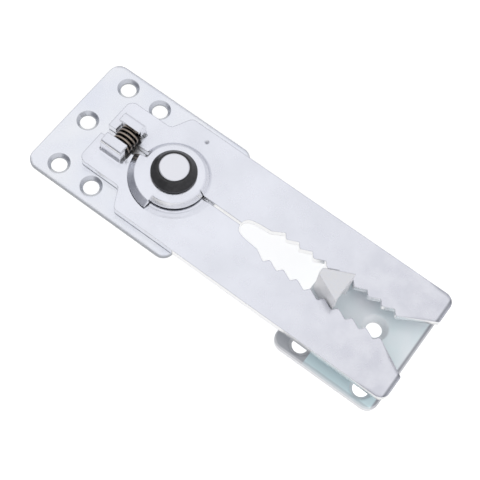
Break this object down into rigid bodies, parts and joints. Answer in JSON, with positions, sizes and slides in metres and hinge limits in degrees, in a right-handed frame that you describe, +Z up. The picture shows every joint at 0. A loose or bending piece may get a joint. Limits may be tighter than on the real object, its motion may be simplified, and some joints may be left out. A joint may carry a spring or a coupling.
{
  "type": "sectional sofa connector",
  "caption": "Spring-jaw connector that holds two seat frames together: toothed jaws on a pivot grip an arrowhead post on a mating plate, and squeezing the tails lets it go.",
  "frame": {"origin": "centre of the base plate's four corner screw holes, on the underside of the base plate", "axes": "+X along the jaws to their mouth, +Y to the left jaw, +Z up from the seat frame through the base plate"},
  "size_m": [0.1584, 0.055, 0.0188],
  "materials": {
    "zinc_plate": "bright zinc plated, blue passivated",
    "jaw_zinc": "bright zinc plated, blue passivated",
    "catch_zinc": "bright zinc plated, blue passivated",
    "rivet_zinc": "bright zinc plated",
    "black_collar": "black, semi-gloss",
    "spring_steel": "black oiled spring steel"
  },
  "bodies": {
    "base": {"base_plate": "zinc_plate", "pivot_rivet": "rivet_zinc", "cone_collar": "black_collar"},
    "left_arm": {"left_jaw": "jaw_zinc", "tail_spring": "spring_steel"},
    "right_arm": {"right_jaw": "jaw_zinc"},
    "catch": {"catch_plate": "catch_zinc"}
  },
  "joints": [
    {"name": "left_pivot", "type": "hinge", "parent": "base", "child": "left_arm", "pos_m": [0.03015, 0, 0], "axis": [0, 0, 1], "range_deg": [0, 3.2], "stiffness_Nm_per_rad": 3, "springref_deg": -5.73, "deforming": ["tail_spring"]},
    {"name": "right_pivot", "type": "hinge", "parent": "base", "child": "right_arm", "pos_m": [0.03015, 0, 0], "axis": [0, 0, -1], "range_deg": [0, 3.2], "stiffness_Nm_per_rad": 3, "springref_deg": -5.73},
    {"name": "catch_lift", "type": "slide", "parent": "base", "child": "catch", "axis": [0, 0, 1], "range_m": [-0.014, 0]}
  ]
}
